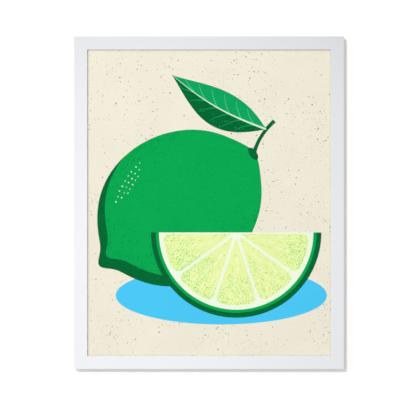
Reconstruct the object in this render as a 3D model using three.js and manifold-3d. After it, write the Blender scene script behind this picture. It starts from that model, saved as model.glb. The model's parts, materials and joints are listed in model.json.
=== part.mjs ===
// A framed wall print: a sheet of paper behind clear glazing in a slim mitred frame.
// Units are millimetres. +Z is up, +X is to the right, and the picture faces -Y.
// The plane y = 0 is the wall that the two rear bumpers rest on. The origin lies on that plane
// behind the middle notch of the hanger, which is the point the frame hangs from.
import * as THREE from "three";
import { mergeVertices } from "three/addons/utils/BufferGeometryUtils.js";
import Module from "manifold-3d";

const wasm = await Module();
wasm.setup();

// ---------------------------------------------------------------- driving dimensions

// the sheet that the frame is made for, and the room round it in the rebate
const SHEET_W = 406.4; // 16 in
const SHEET_H = 508.0; // 20 in
const REBATE_PLAY = 1.6; // on each side

// the moulding's section: an L whose lip overlaps the sheet
const REBATE_STEP = 8.0; // how far the lip reaches in over the rebate
const RAIL_FACE = 21.5; // width of the front face
const RAIL_DEPTH = 14.0; // from the back of the wood to the front face
const LIP_THICK = 2.0; // wood in front of the glazing
const FRONT_RADIUS = 0.5; // both front arrises
const BACK_CHAMFER = 0.4; // outer rear arris
const ARC_STEPS = 8;
const MITRE_GAP = 0.03; // hairline between two rails, measured along the rail

const OPENING_W = SHEET_W + 2 * REBATE_PLAY; // rebate, wood to wood
const OPENING_H = SHEET_H + 2 * REBATE_PLAY;
const BACK_WIDTH = RAIL_FACE - REBATE_STEP; // wood beside the rebate
const OUTER_W = OPENING_W + 2 * BACK_WIDTH;
const OUTER_H = OPENING_H + 2 * BACK_WIDTH;

// the stack in the rebate, from the lip backwards
const STACK_GAP = 0.12;
const GLAZING_THICK = 1.0; // clear acrylic sheet
const PRINT_THICK = 0.3;
const FILLER_THICK = 6.8; // double-wall corrugated card
const BOARD_THICK = 3.0;
const GLAZING_ARRIS = 0.3;
const BOARD_ARRIS = 0.4;

// turn buttons: flat tear-shaped plates that swivel on a pan-head screw
const BUTTON_THICK = 1.2;
const BUTTON_EYE_RADIUS = 5.5;
const BUTTON_TIP_RADIUS = 4.3;
const BUTTON_REACH = 18.0; // eye centre to tip centre
const BUTTON_HOLE = 2.2;
const BUTTON_FROM_MIDDLE_X = 120.0; // along the top and bottom rails
const BUTTON_FROM_MIDDLE_Z = 150.0; // along the side rails
const PIVOT_FROM_EDGE = BACK_WIDTH / 2;

// pan-head screws
const SCREW_SHANK = 1.75;
const SCREW_HEAD = 3.6;
const SCREW_HEAD_HIGH = 1.7;
const SCREW_DEEP = 10.5; // below the back of the wood
const PILOT_RADIUS = 2.05;
const PILOT_DEEP = 11.0;
const CLEAR = 0.2; // between a button and the wood, and between the head and the button

// the hanger: a stamped strip with a raised, toothed middle
const HANGER_LONG = 45.0;
const HANGER_HIGH = 11.0;
const HANGER_THICK = 0.8;
const HANGER_RAISE = 2.2;
const TOOTH_DEEP = 2.25;
const TOOTH_PITCH = 3.2;
const TOOTH_COUNT = 7; // notches
const HANGER_HOLE = 1.2;
const HANGER_HOLE_X = 18.6;
const HANG_DROP = BACK_WIDTH / 2 + HANGER_HIGH / 2 - TOOTH_DEEP; // top of the frame above the notch
const HANGER_MID_Z = HANGER_HIGH / 2 - TOOTH_DEEP;

// hanger nails
const NAIL_HEAD = 2.1;
const NAIL_SHANK = 0.8;
const NAIL_DEEP = 7.5;
const NAIL_PILOT = 1.1;

// corner nails, L in plan, one leg in each rail
const VNAIL_LEG = 8.0;
const VNAIL_THICK = 0.8;
const VNAIL_DEEP = 9.0;
const VNAIL_SUNK = 0.3;
const VNAIL_FROM_EDGE = 4.2;
const VNAIL_CLEAR = 0.3;

// rear bumpers
const BUMPER_THICK = 4.0;
const BUMPER_RADIUS = 5.0;
const BUMPER_ROUND = 1.2;
const BUMPER_FROM_SIDE = 24.0;

// ---------------------------------------------------------------- levels along Y and Z

const BACK_Y = -BUMPER_THICK; // back of the wood
const FRONT_Y = BACK_Y - RAIL_DEPTH;
const TOP_Z = HANG_DROP;
const BOTTOM_Z = TOP_Z - OUTER_H;
const MID_Z = (TOP_Z + BOTTOM_Z) / 2;

const glazingFront = FRONT_Y + LIP_THICK + STACK_GAP;
const printFront = glazingFront + GLAZING_THICK + STACK_GAP;
const fillerFront = printFront + PRINT_THICK + STACK_GAP;
const boardFront = fillerFront + FILLER_THICK + STACK_GAP;

// ---------------------------------------------------------------- helpers

// one closed geometry as a solid
function solid(geometry, matrix) {
  const g = geometry.index ? geometry.toNonIndexed() : geometry.clone();
  g.deleteAttribute("normal");
  g.deleteAttribute("uv");
  if (matrix) g.applyMatrix4(matrix);
  const merged = mergeVertices(g, 1e-4);
  return new wasm.Manifold(
    new wasm.Mesh({
      numProp: 3,
      vertProperties: new Float32Array(merged.attributes.position.array),
      triVerts: new Uint32Array(merged.index.array),
    }),
  );
}

// and back again
function geometryOf(manifold) {
  const m = manifold.getMesh();
  const g = new THREE.BufferGeometry();
  const n = m.numProp;
  const v = new Float32Array((m.vertProperties.length / n) * 3);
  for (let i = 0; i < v.length / 3; i++)
    v.set(m.vertProperties.subarray(i * n, i * n + 3), i * 3);
  g.setAttribute("position", new THREE.BufferAttribute(v, 3));
  g.setIndex(new THREE.BufferAttribute(new Uint32Array(m.triVerts), 1));
  g.computeVertexNormals();
  return g;
}

const at = (x, y, z) => new THREE.Matrix4().makeTranslation(x, y, z);

// an outline drawn in XZ, extruded towards the front (-Y) from y = 0
function plate(shape, thick, curveSegments = 12, bevel = 0) {
  const g = new THREE.ExtrudeGeometry(shape, {
    depth: thick - 2 * bevel,
    bevelEnabled: bevel > 0,
    bevelSize: bevel,
    bevelThickness: bevel,
    bevelOffset: -bevel,
    bevelSegments: 1,
    curveSegments,
  });
  g.rotateX(Math.PI / 2);
  if (bevel > 0) g.translate(0, -bevel, 0);
  return g;
}

function rectangle(w, h) {
  const s = new THREE.Shape();
  s.moveTo(-w / 2, -h / 2);
  s.lineTo(w / 2, -h / 2);
  s.lineTo(w / 2, h / 2);
  s.lineTo(-w / 2, h / 2);
  s.closePath();
  return s;
}

// a cylinder along Y between two levels, for drilling
function drill(radius, y0, y1, segments = 20) {
  const g = new THREE.CylinderGeometry(radius, radius, y1 - y0, segments);
  g.translate(0, (y0 + y1) / 2, 0);
  return g;
}

function arc(points, cx, cy, r, from, to, steps) {
  for (let i = 0; i <= steps; i++) {
    const a = from + ((to - from) * i) / steps;
    points.push(new THREE.Vector2(cx + r * Math.cos(a), cy + r * Math.sin(a)));
  }
}

const root = new THREE.Group();
root.name = "framed_wall_print";

function add(parent, name, geometry, material, x = 0, y = 0, z = 0) {
  const mesh = new THREE.Mesh(geometry, material);
  mesh.name = name;
  mesh.position.set(x, y, z);
  parent.add(mesh);
  return mesh;
}

// ---------------------------------------------------------------- materials

const paint = () =>
  new THREE.MeshStandardMaterial({ color: 0xf1f2f5, roughness: 0.42, metalness: 0 });
const zinc = () =>
  new THREE.MeshStandardMaterial({ color: 0xb9bcc0, roughness: 0.38, metalness: 1 });
const steel = () =>
  new THREE.MeshStandardMaterial({ color: 0x9a9da1, roughness: 0.45, metalness: 1 });
const brass = () =>
  new THREE.MeshStandardMaterial({ color: 0xc7a35a, roughness: 0.35, metalness: 1 });
const rubber = () =>
  new THREE.MeshStandardMaterial({ color: 0xd9dad8, roughness: 0.8, metalness: 0 });

// ---------------------------------------------------------------- the four rails

// Section in (u, v): u runs inwards from the outer edge, v forwards from the back of the wood.
function railSection() {
  const p = [];
  p.push(new THREE.Vector2(BACK_CHAMFER, 0));
  p.push(new THREE.Vector2(BACK_WIDTH, 0));
  p.push(new THREE.Vector2(BACK_WIDTH, RAIL_DEPTH - LIP_THICK));
  p.push(new THREE.Vector2(RAIL_FACE, RAIL_DEPTH - LIP_THICK));
  arc(p, RAIL_FACE - FRONT_RADIUS, RAIL_DEPTH - FRONT_RADIUS, FRONT_RADIUS, 0, Math.PI / 2, ARC_STEPS);
  arc(p, FRONT_RADIUS, RAIL_DEPTH - FRONT_RADIUS, FRONT_RADIUS, Math.PI / 2, Math.PI, ARC_STEPS);
  p.push(new THREE.Vector2(0, BACK_CHAMFER));
  return new THREE.Shape(p);
}

// A rail in its own frame: length along X, outer edge at z = 0 with the wood below it, back at
// y = 0 with the wood in front of it. Both ends are sheared back by the inward distance, which
// leaves them mitred at 45 degrees.
function railSolid(length) {
  const g = new THREE.ExtrudeGeometry(railSection(), {
    depth: length,
    bevelEnabled: false,
    curveSegments: 1,
  });
  const pos = g.getAttribute("position");
  for (let i = 0; i < pos.count; i++) {
    const u = pos.getX(i);
    const v = pos.getY(i);
    const end = pos.getZ(i) > length / 2 ? 1 : -1;
    pos.setXYZ(i, end * (length / 2 - u - MITRE_GAP / 2), -v, -u);
  }
  // that map mirrors the section, so each face is turned round again
  for (let i = 0; i < pos.count; i += 3) {
    const b = new THREE.Vector3().fromBufferAttribute(pos, i + 1);
    const c = new THREE.Vector3().fromBufferAttribute(pos, i + 2);
    pos.setXYZ(i + 1, c.x, c.y, c.z);
    pos.setXYZ(i + 2, b.x, b.y, b.z);
  }
  return solid(g);
}

function rail(name, length, turn, x, z, pilots) {
  let body = railSolid(length);
  // slots for the corner nails, one leg at each end
  for (const end of [-1, 1]) {
    const long = VNAIL_LEG + 2 * VNAIL_CLEAR + VNAIL_THICK / 2;
    const wide = VNAIL_THICK + 2 * VNAIL_CLEAR;
    const apex = length / 2 - VNAIL_FROM_EDGE + VNAIL_THICK / 2 + VNAIL_CLEAR;
    const deep = VNAIL_DEEP + VNAIL_SUNK + VNAIL_CLEAR;
    const box = new THREE.BoxGeometry(long + 1, deep + 1, wide);
    body = body.subtract(
      solid(box, at(end * (apex - long / 2 + 0.5), -(deep - 1) / 2, -VNAIL_FROM_EDGE)),
    );
  }
  for (const [px, r, deep] of pilots)
    body = body.subtract(
      solid(drill(r, -deep, 1, r > 1.5 ? 20 : 14), at(px, 0, -PIVOT_FROM_EDGE)),
    );
  const group = new THREE.Group();
  group.position.set(x, BACK_Y, z);
  group.rotation.y = turn;
  root.add(group);
  add(group, name, geometryOf(body), paint());
}

const across = [
  [-BUTTON_FROM_MIDDLE_X, PILOT_RADIUS, PILOT_DEEP],
  [BUTTON_FROM_MIDDLE_X, PILOT_RADIUS, PILOT_DEEP],
];
const along = [
  [-BUTTON_FROM_MIDDLE_Z, PILOT_RADIUS, PILOT_DEEP],
  [BUTTON_FROM_MIDDLE_Z, PILOT_RADIUS, PILOT_DEEP],
];
const hanging = [
  [-HANGER_HOLE_X, NAIL_PILOT, NAIL_DEEP + 0.8],
  [HANGER_HOLE_X, NAIL_PILOT, NAIL_DEEP + 0.8],
];
rail("top_rail", OUTER_W, 0, 0, TOP_Z, [...across, ...hanging]);
rail("bottom_rail", OUTER_W, Math.PI, 0, BOTTOM_Z, across);
rail("right_rail", OUTER_H, Math.PI / 2, OUTER_W / 2, MID_Z, along);
rail("left_rail", OUTER_H, -Math.PI / 2, -OUTER_W / 2, MID_Z, along);

// ---------------------------------------------------------------- the stack in the rebate

// plates are drawn from their rear face, so each is placed at its front plus its thickness
const stack = new THREE.Group();
stack.position.set(0, 0, MID_Z);
root.add(stack);

add(
  stack,
  "glazing",
  plate(rectangle(SHEET_W, SHEET_H), GLAZING_THICK, 1, GLAZING_ARRIS),
  new THREE.MeshStandardMaterial({
    color: 0xf4fbf8,
    roughness: 0.05,
    metalness: 0,
    transparent: true,
    opacity: 0.15,
  }),
  0,
  glazingFront + GLAZING_THICK,
  0,
);
add(
  stack,
  "art_print",
  plate(rectangle(SHEET_W, SHEET_H), PRINT_THICK, 1),
  new THREE.MeshStandardMaterial({ color: 0xf0ebd8, roughness: 0.85, metalness: 0 }),
  0,
  printFront + PRINT_THICK,
  0,
);
add(
  stack,
  "filler_board",
  plate(rectangle(SHEET_W, SHEET_H), FILLER_THICK, 1),
  new THREE.MeshStandardMaterial({ color: 0xb99668, roughness: 0.9, metalness: 0 }),
  0,
  fillerFront + FILLER_THICK,
  0,
);
add(
  stack,
  "backing_board",
  plate(rectangle(SHEET_W, SHEET_H), BOARD_THICK, 1, BOARD_ARRIS),
  new THREE.MeshStandardMaterial({ color: 0x8f6a45, roughness: 0.75, metalness: 0 }),
  0,
  boardFront + BOARD_THICK,
  0,
);

// ---------------------------------------------------------------- turn buttons and their screws

// The button's eye is at the origin and its tip points to -Z.
function buttonGeometry() {
  const lean = Math.asin((BUTTON_EYE_RADIUS - BUTTON_TIP_RADIUS) / BUTTON_REACH);
  const p = [];
  arc(p, 0, 0, BUTTON_EYE_RADIUS, -lean, Math.PI + lean, 14);
  arc(p, 0, -BUTTON_REACH, BUTTON_TIP_RADIUS, Math.PI + lean, 2 * Math.PI - lean, 10);
  const s = new THREE.Shape(p);
  const hole = new THREE.Path();
  hole.absarc(0, 0, BUTTON_HOLE, 0, 2 * Math.PI, true);
  s.holes.push(hole);
  return plate(s, BUTTON_THICK, 10);
}

// The screw stands on the back of the wood, head to +Y, with its shank in the pilot hole.
function screwGeometry(segments = 16) {
  const seat = CLEAR + BUTTON_THICK + CLEAR;
  const top = seat + SCREW_HEAD_HIGH;
  const p = [
    new THREE.Vector2(0, -SCREW_DEEP),
    new THREE.Vector2(SCREW_SHANK * 0.55, -SCREW_DEEP + 1.6),
    new THREE.Vector2(SCREW_SHANK, -SCREW_DEEP + 3.4),
    new THREE.Vector2(SCREW_SHANK, seat),
    new THREE.Vector2(SCREW_HEAD, seat),
    new THREE.Vector2(SCREW_HEAD, seat + 0.75),
    new THREE.Vector2(SCREW_HEAD * 0.9, seat + 1.25),
    new THREE.Vector2(SCREW_HEAD * 0.66, top - 0.1),
    new THREE.Vector2(SCREW_HEAD * 0.4, top),
    new THREE.Vector2(0, top),
  ];
  return new THREE.LatheGeometry(p, segments);
}

function turnButton(name, x, z, turn) {
  const group = new THREE.Group();
  group.position.set(x, BACK_Y, z);
  group.rotation.y = turn;
  root.add(group);
  add(group, "turn_button_" + name, buttonGeometry(), zinc(), 0, CLEAR + BUTTON_THICK, 0);
  add(group, "button_screw_" + name, screwGeometry(), steel());
}

const pivotTop = TOP_Z - PIVOT_FROM_EDGE;
const pivotBottom = BOTTOM_Z + PIVOT_FROM_EDGE;
const pivotSide = OUTER_W / 2 - PIVOT_FROM_EDGE;
turnButton("top_left", -BUTTON_FROM_MIDDLE_X, pivotTop, 0);
turnButton("top_right", BUTTON_FROM_MIDDLE_X, pivotTop, 0);
turnButton("bottom_left", -BUTTON_FROM_MIDDLE_X, pivotBottom, Math.PI);
turnButton("bottom_right", BUTTON_FROM_MIDDLE_X, pivotBottom, Math.PI);
turnButton("left_upper", -pivotSide, MID_Z + BUTTON_FROM_MIDDLE_Z, -Math.PI / 2);
turnButton("left_lower", -pivotSide, MID_Z - BUTTON_FROM_MIDDLE_Z, -Math.PI / 2);
turnButton("right_upper", pivotSide, MID_Z + BUTTON_FROM_MIDDLE_Z, Math.PI / 2);
turnButton("right_lower", pivotSide, MID_Z - BUTTON_FROM_MIDDLE_Z, Math.PI / 2);

// ---------------------------------------------------------------- corner nails

// An L in plan: legs along +X and +Z from the corner, driven from the back of the wood.
function cornerNailGeometry() {
  const t = VNAIL_THICK / 2;
  const s = new THREE.Shape();
  s.moveTo(-t, -t);
  s.lineTo(VNAIL_LEG, -t);
  s.lineTo(VNAIL_LEG, t);
  s.lineTo(t, t);
  s.lineTo(t, VNAIL_LEG);
  s.lineTo(-t, VNAIL_LEG);
  s.closePath();
  return plate(s, VNAIL_DEEP, 1);
}

for (const [name, sx, z, turn] of [
  ["bottom_left", -1, BOTTOM_Z + VNAIL_FROM_EDGE, 0],
  ["top_left", -1, TOP_Z - VNAIL_FROM_EDGE, Math.PI / 2],
  ["top_right", 1, TOP_Z - VNAIL_FROM_EDGE, Math.PI],
  ["bottom_right", 1, BOTTOM_Z + VNAIL_FROM_EDGE, -Math.PI / 2],
]) {
  const nail = add(
    root,
    "corner_nail_" + name,
    cornerNailGeometry(),
    steel(),
    sx * (OUTER_W / 2 - VNAIL_FROM_EDGE),
    BACK_Y - VNAIL_SUNK,
    z,
  );
  nail.rotation.y = turn;
}

// ---------------------------------------------------------------- hanger

// Points along a path in XY with each inner corner turned into an arc.
function filleted(corners, radius, steps) {
  const out = [corners[0].clone()];
  for (let i = 1; i < corners.length - 1; i++) {
    const a = corners[i - 1].clone().sub(corners[i]).normalize();
    const b = corners[i + 1].clone().sub(corners[i]).normalize();
    const half = Math.acos(a.dot(b)) / 2;
    const back = radius / Math.tan(half);
    const centre = corners[i]
      .clone()
      .add(a.clone().add(b).normalize().multiplyScalar(radius / Math.sin(half)));
    const from = corners[i].clone().add(a.multiplyScalar(back)).sub(centre);
    const to = corners[i].clone().add(b.multiplyScalar(back)).sub(centre);
    const start = from.angle();
    let sweep = to.angle() - start;
    if (sweep > Math.PI) sweep -= 2 * Math.PI;
    if (sweep < -Math.PI) sweep += 2 * Math.PI;
    arc(out, centre.x, centre.y, radius, start, start + sweep, steps);
  }
  out.push(corners[corners.length - 1].clone());
  return out;
}

// A strip of one thickness that follows a path in XY, as a closed outline.
function stripOutline(path, thick) {
  const lower = [];
  const upper = [];
  path.forEach((p, i) => {
    const before = path[Math.max(i - 1, 0)];
    const after = path[Math.min(i + 1, path.length - 1)];
    const t = after.clone().sub(before).normalize();
    const n = new THREE.Vector2(-t.y, t.x).multiplyScalar(thick / 2);
    lower.push(p.clone().sub(n));
    upper.push(p.clone().add(n));
  });
  return new THREE.Shape([...lower, ...upper.reverse()]);
}

function hangerSolid() {
  const h = HANGER_RAISE;
  const t = HANGER_THICK;
  const half = HANGER_LONG / 2;
  const middle = filleted(
    [
      new THREE.Vector2(-half, t / 2),
      new THREE.Vector2(-15.2, t / 2),
      new THREE.Vector2(-12.6, h + t / 2),
      new THREE.Vector2(12.6, h + t / 2),
      new THREE.Vector2(15.2, t / 2),
      new THREE.Vector2(half, t / 2),
    ],
    1.1,
    4,
  );
  let body = solid(
    new THREE.ExtrudeGeometry(stripOutline(middle, t), {
      depth: HANGER_HIGH,
      bevelEnabled: false,
    }),
    at(0, 0, -HANGER_HIGH / 2),
  );
  // rounded ends, cut to a stadium outline in XZ
  const r = HANGER_HIGH / 2;
  const p = [];
  arc(p, half - r, 0, r, -Math.PI / 2, Math.PI / 2, 12);
  arc(p, -half + r, 0, r, Math.PI / 2, 1.5 * Math.PI, 12);
  body = body.intersect(solid(plate(new THREE.Shape(p), 20, 1), at(0, 10, 0)));
  // notches in the lower edge
  const wide = TOOTH_PITCH / 2 - 0.25;
  for (let i = 0; i < TOOTH_COUNT; i++) {
    const x = (i - (TOOTH_COUNT - 1) / 2) * TOOTH_PITCH;
    const low = -HANGER_HIGH / 2 - 1;
    const spread = (wide * (TOOTH_DEEP + 1)) / TOOTH_DEEP;
    const tri = new THREE.Shape([
      new THREE.Vector2(x - spread, low),
      new THREE.Vector2(x + spread, low),
      new THREE.Vector2(x, -HANGER_HIGH / 2 + TOOTH_DEEP),
    ]);
    body = body.subtract(solid(plate(tri, 20, 1), at(0, 10, 0)));
  }
  for (const s of [-1, 1])
    body = body.subtract(solid(drill(HANGER_HOLE, -1, 4, 16), at(s * HANGER_HOLE_X, 0, 0)));
  return body;
}

const hanger = new THREE.Group();
hanger.position.set(0, BACK_Y, HANGER_MID_Z);
root.add(hanger);
add(hanger, "sawtooth_hanger", geometryOf(hangerSolid()), brass());

function nailGeometry() {
  const seat = HANGER_THICK + CLEAR;
  return new THREE.LatheGeometry(
    [
      new THREE.Vector2(0, -NAIL_DEEP),
      new THREE.Vector2(NAIL_SHANK, -NAIL_DEEP + 1.8),
      new THREE.Vector2(NAIL_SHANK, seat),
      new THREE.Vector2(NAIL_HEAD, seat),
      new THREE.Vector2(NAIL_HEAD, seat + 0.35),
      new THREE.Vector2(NAIL_HEAD * 0.8, seat + 0.75),
      new THREE.Vector2(NAIL_HEAD * 0.4, seat + 0.95),
      new THREE.Vector2(0, seat + 1.0),
    ],
    14,
  );
}
add(hanger, "hanger_nail_left", nailGeometry(), brass(), -HANGER_HOLE_X, 0, 0);
add(hanger, "hanger_nail_right", nailGeometry(), brass(), HANGER_HOLE_X, 0, 0);

// ---------------------------------------------------------------- rear bumpers

function bumperGeometry() {
  const p = [new THREE.Vector2(0, 0), new THREE.Vector2(BUMPER_RADIUS, 0)];
  arc(
    p,
    BUMPER_RADIUS - BUMPER_ROUND,
    BUMPER_THICK - BUMPER_ROUND,
    BUMPER_ROUND,
    0,
    Math.PI / 2,
    5,
  );
  p.push(new THREE.Vector2(0, BUMPER_THICK));
  return new THREE.LatheGeometry(p, 28);
}
for (const [name, s] of [
  ["left", -1],
  ["right", 1],
])
  add(
    root,
    "wall_bumper_" + name,
    bumperGeometry(),
    rubber(),
    s * (OUTER_W / 2 - BUMPER_FROM_SIDE),
    BACK_Y,
    BOTTOM_Z + BACK_WIDTH / 2,
  );

export default root;
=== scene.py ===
import json
import math
import random

import bmesh
import bpy
from mathutils import Matrix, Vector
from mathutils.geometry import delaunay_2d_cdt


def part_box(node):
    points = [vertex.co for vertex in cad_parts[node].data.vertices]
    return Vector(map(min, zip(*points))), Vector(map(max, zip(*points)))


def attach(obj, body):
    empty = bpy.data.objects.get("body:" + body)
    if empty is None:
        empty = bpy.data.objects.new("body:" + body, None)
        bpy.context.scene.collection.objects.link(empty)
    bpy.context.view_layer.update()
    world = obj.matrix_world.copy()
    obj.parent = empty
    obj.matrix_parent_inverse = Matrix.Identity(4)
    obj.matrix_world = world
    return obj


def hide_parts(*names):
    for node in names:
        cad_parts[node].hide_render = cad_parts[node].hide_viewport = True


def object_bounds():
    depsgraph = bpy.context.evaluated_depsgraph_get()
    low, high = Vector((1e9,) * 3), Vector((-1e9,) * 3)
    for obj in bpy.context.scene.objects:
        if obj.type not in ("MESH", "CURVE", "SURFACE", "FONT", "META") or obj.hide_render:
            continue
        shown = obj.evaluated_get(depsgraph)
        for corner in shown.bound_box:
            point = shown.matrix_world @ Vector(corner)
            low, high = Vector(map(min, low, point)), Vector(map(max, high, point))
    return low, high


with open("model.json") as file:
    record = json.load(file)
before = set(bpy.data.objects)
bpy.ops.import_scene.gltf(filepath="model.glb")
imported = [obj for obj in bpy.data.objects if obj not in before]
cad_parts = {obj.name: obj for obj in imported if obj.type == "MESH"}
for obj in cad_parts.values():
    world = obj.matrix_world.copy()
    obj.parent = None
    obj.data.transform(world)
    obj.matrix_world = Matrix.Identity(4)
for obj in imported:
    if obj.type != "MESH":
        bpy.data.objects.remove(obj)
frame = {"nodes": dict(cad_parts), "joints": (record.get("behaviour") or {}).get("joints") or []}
cad_low, cad_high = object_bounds()
NODES = frame["nodes"]
MM = 0.001

# levels and sizes, all read from the frame
front_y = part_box("top_rail")[0].y
back_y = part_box("top_rail")[1].y
top_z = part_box("top_rail")[1].z
bottom_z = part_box("bottom_rail")[0].z
half_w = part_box("right_rail")[1].x
mid_z = (top_z + bottom_z) / 2
sheet_low, sheet_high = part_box("art_print")
stack_low, stack_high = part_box("backing_board")
rail_face = half_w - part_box("right_rail")[0].x


# ------------------------------------------------------------------ helpers

def srgb(r, g, b):
    """A colour given as 8-bit screen values, as linear RGBA."""
    def lin(c):
        c /= 255.0
        return c / 12.92 if c <= 0.04045 else ((c + 0.055) / 1.055) ** 2.4
    return (lin(r), lin(g), lin(b), 1.0)


def shade(colour, k):
    return (min(colour[0] * k, 1), min(colour[1] * k, 1), min(colour[2] * k, 1), 1.0)


class Shader:
    """A small builder for node materials."""

    def __init__(self, name):
        self.mat = bpy.data.materials.new(name)
        self.mat.use_nodes = True
        self.tree = self.mat.node_tree
        self.tree.nodes.clear()
        self.out = self.tree.nodes.new("ShaderNodeOutputMaterial")
        self.bsdf = self.tree.nodes.new("ShaderNodeBsdfPrincipled")
        self.tree.links.new(self.bsdf.outputs["BSDF"], self.out.inputs["Surface"])
        self._object = None

    def node(self, kind, **settings):
        n = self.tree.nodes.new(kind)
        for key, value in settings.items():
            setattr(n, key, value)
        return n

    def put(self, socket, value):
        """Links a socket, or sets its value."""
        if isinstance(value, bpy.types.NodeSocket):
            self.tree.links.new(value, socket)
        else:
            socket.default_value = value

    def set(self, **values):
        names = {
            "color": "Base Color", "rough": "Roughness", "metal": "Metallic",
            "normal": "Normal", "ior": "IOR", "trans": "Transmission Weight",
            "spec": "Specular IOR Level", "coat": "Coat Weight",
            "coat_rough": "Coat Roughness", "alpha": "Alpha",
            "subsurface": "Subsurface Weight",
        }
        for key, value in values.items():
            self.put(self.bsdf.inputs[names[key]], value)
        return self

    def position(self, scale=(1, 1, 1), turn=(0, 0, 0), shift=(0, 0, 0)):
        if self._object is None:
            self._object = self.node("ShaderNodeTexCoord").outputs["Object"]
        m = self.node("ShaderNodeMapping")
        self.put(m.inputs["Vector"], self._object)
        m.inputs["Scale"].default_value = scale
        m.inputs["Rotation"].default_value = turn
        m.inputs["Location"].default_value = shift
        return m.outputs["Vector"]

    def noise(self, scale, detail=2.0, rough=0.5, stretch=(1, 1, 1), distort=0.0, shift=(0, 0, 0), turn=(0, 0, 0)):
        n = self.node("ShaderNodeTexNoise")
        self.put(n.inputs["Vector"], self.position(stretch, turn, shift))
        n.inputs["Scale"].default_value = scale
        n.inputs["Detail"].default_value = detail
        n.inputs["Roughness"].default_value = rough
        n.inputs["Distortion"].default_value = distort
        return n.outputs["Fac"]

    def cells(self, scale, stretch=(1, 1, 1), feature="F1"):
        n = self.node("ShaderNodeTexVoronoi", feature=feature)
        self.put(n.inputs["Vector"], self.position(stretch))
        n.inputs["Scale"].default_value = scale
        return n.outputs["Distance"]

    def dots(self, size, chance, small, large, shift=(0, 0, 0)):
        """Ragged specks in XZ: one cell in so many holds one, with its radius in parts of a cell."""
        n = self.node("ShaderNodeTexVoronoi", voronoi_dimensions="2D")
        self.put(n.inputs["Vector"], self.position(turn=(math.pi / 2, 0, 0), shift=shift))
        n.inputs["Scale"].default_value = 1.0 / size
        n.inputs["Randomness"].default_value = 1.0
        rgb = self.node("ShaderNodeSeparateColor")
        self.put(rgb.inputs[0], n.outputs["Color"])
        there = self.math("LESS_THAN", rgb.outputs[0], chance)
        radius = self.spread(rgb.outputs[1], 0.0, 1.0, small, large)
        ragged = self.math("SUBTRACT", self.noise(3.4 / size, 2.0, 0.6, stretch=(1.0, 1.0, 1.35)), 0.5)
        far = self.math("MULTIPLY_ADD", ragged, 0.42, n.outputs["Distance"])
        dot = self.math("MULTIPLY", self.math("SUBTRACT", radius, far), 25.0, clamp=True)
        return self.math("MULTIPLY", there, dot)

    def ramp(self, value, *stops, ease="LINEAR"):
        n = self.node("ShaderNodeValToRGB")
        n.color_ramp.interpolation = ease
        e = n.color_ramp.elements
        while len(e) < len(stops):
            e.new(0.5)
        for i, (at, colour) in enumerate(stops):
            e[i].position = at
            if not hasattr(colour, "__len__"):
                colour = (colour, colour, colour, 1)
            e[i].color = colour
        self.put(n.inputs["Fac"], value)
        return n.outputs["Color"]

    def math(self, op, a, b=0.0, c=0.0, clamp=False):
        n = self.node("ShaderNodeMath", operation=op, use_clamp=clamp)
        self.put(n.inputs[0], a)
        self.put(n.inputs[1], b)
        self.put(n.inputs[2], c)
        return n.outputs[0]

    def mix(self, fac, a, b, blend="MIX"):
        n = self.node("ShaderNodeMix", data_type="RGBA", blend_type=blend)
        self.put(n.inputs["Factor"], fac)
        self.put(n.inputs[6], a)
        self.put(n.inputs[7], b)
        return n.outputs[2]

    def spread(self, value, low, high, to_low=0.0, to_high=1.0):
        n = self.node("ShaderNodeMapRange")
        n.clamp = True
        self.put(n.inputs["Value"], value)
        n.inputs["From Min"].default_value = low
        n.inputs["From Max"].default_value = high
        n.inputs["To Min"].default_value = to_low
        n.inputs["To Max"].default_value = to_high
        return n.outputs["Result"]

    def axes(self):
        n = self.node("ShaderNodeSeparateXYZ")
        self.put(n.inputs[0], self.position())
        return n.outputs[0], n.outputs[1], n.outputs[2]

    def bump(self, height, strength, distance, under=None):
        n = self.node("ShaderNodeBump")
        n.inputs["Strength"].default_value = strength
        n.inputs["Distance"].default_value = distance
        self.put(n.inputs["Height"], height)
        if under is not None:
            self.put(n.inputs["Normal"], under)
        return n.outputs["Normal"]


def link_to_scene(name, mesh):
    ob = bpy.data.objects.new(name, mesh)
    bpy.context.scene.collection.objects.link(ob)
    return ob


def give(ob, *materials):
    """Sets a mesh's material slots. They aren't cleared first, because that loses each face's slot."""
    for i, m in enumerate(materials):
        if i < len(ob.data.materials):
            ob.data.materials[i] = m
        else:
            ob.data.materials.append(m)


# ------------------------------------------------------------------ camera

WIDE, HIGH = 416, 403
LENS, SENSOR = 160.0, 36.0
PX_PER_M = 618.42  # the front face's scale in the picture
distance = LENS / SENSOR * WIDE / PX_PER_M
cam = bpy.data.cameras.new("camera")
cam.lens = LENS
cam.sensor_width = SENSOR
cam.sensor_fit = "HORIZONTAL"
cam.clip_start, cam.clip_end = 0.05, 50
camera = bpy.data.objects.new("camera", cam)
bpy.context.scene.collection.objects.link(camera)
camera.location = (-1.0 / PX_PER_M, front_y - distance, mid_z + 1.3 / PX_PER_M)
camera.rotation_euler = (math.pi / 2, 0, 0)
bpy.context.scene.camera = camera
bpy.context.scene.view_settings.view_transform = "Standard"
bpy.context.scene.view_settings.look = "None"


# ------------------------------------------------------------------ the drawing on the sheet
# A plain flat-colour drawing of a whole lime, a leaf and half a slice. Points are in mm from
# the middle of the sheet, x to the right and z up.

def turned(points, angle, cx=0.0, cz=0.0):
    c, s = math.cos(angle), math.sin(angle)
    return [(cx + x * c - z * s, cz + x * s + z * c) for x, z in points]


def ellipse(cx, cz, a, b, n=96, angle=0.0):
    return turned([(a * math.cos(2 * math.pi * i / n), b * math.sin(2 * math.pi * i / n)) for i in range(n)], angle, cx, cz)


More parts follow.
